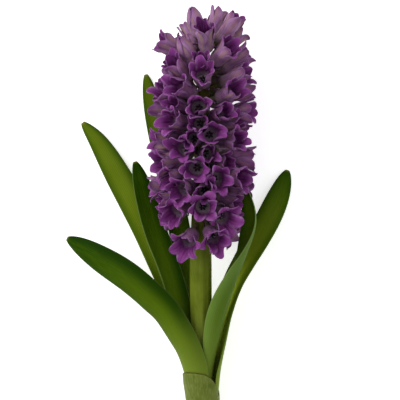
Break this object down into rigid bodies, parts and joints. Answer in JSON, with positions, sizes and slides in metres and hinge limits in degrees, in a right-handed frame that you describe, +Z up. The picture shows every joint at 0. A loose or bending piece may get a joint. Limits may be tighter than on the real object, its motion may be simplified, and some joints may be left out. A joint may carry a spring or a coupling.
{
  "type": "hyacinth flower",
  "caption": "Cut purple hyacinth lying on its back: a dense spike of six-lobed bell florets on a fleshy stalk, with strap leaves and a pale basal sleeve.",
  "frame": {"origin": "centre of the bounding box in X and Y, at the level of the surface that it lies on", "axes": "+Y along the stalk from the cut end to the tip of the spike, +Z up through the front of the flower, +X to the right seen from above with the tip away from the viewer"},
  "size_m": [0.1384, 0.253, 0.065],
  "materials": {
    "petal": "matte",
    "leaf": "satin",
    "stalk": "satin",
    "sheath": "satin"
  },
  "bodies": {
    "root": {"basal_sheath": "sheath", "bud_42": "petal", "bud_49": "petal", "flower_stalk": "stalk", "half_open_floret_02": "petal", "half_open_floret_03": "petal", "half_open_floret_28": "petal", "half_open_floret_31": "petal", "half_open_floret_32": "petal", "half_open_floret_33": "petal", "half_open_floret_34": "petal", "half_open_floret_35": "petal", "half_open_floret_36": "petal", "half_open_floret_37": "petal", "half_open_floret_38": "petal", "half_open_floret_40": "petal", "half_open_floret_41": "petal", "half_open_floret_43": "petal", "half_open_floret_44": "petal", "half_open_floret_45": "petal", "half_open_floret_46": "petal", "half_open_floret_47": "petal", "half_open_floret_48": "petal", "half_open_floret_50": "petal", "half_open_floret_51": "petal", "leaf_back": "leaf", "leaf_back_left": "leaf", "leaf_back_right": "leaf", "leaf_front_left": "leaf", "leaf_side_left": "leaf", "leaf_side_right": "leaf", "open_floret_01": "petal", "open_floret_04": "petal", "open_floret_05": "petal", "open_floret_06": "petal", "open_floret_07": "petal", "open_floret_08": "petal", "open_floret_09": "petal", "open_floret_10": "petal", "open_floret_11": "petal", "open_floret_12": "petal", "open_floret_13": "petal", "open_floret_14": "petal", "open_floret_15": "petal", "open_floret_16": "petal", "open_floret_17": "petal", "open_floret_18": "petal", "open_floret_19": "petal", "open_floret_20": "petal", "open_floret_21": "petal", "open_floret_22": "petal", "open_floret_23": "petal", "open_floret_24": "petal", "open_floret_25": "petal", "open_floret_26": "petal", "open_floret_27": "petal", "open_floret_29": "petal", "open_floret_30": "petal", "open_floret_39": "petal"}
  },
  "joints": []
}
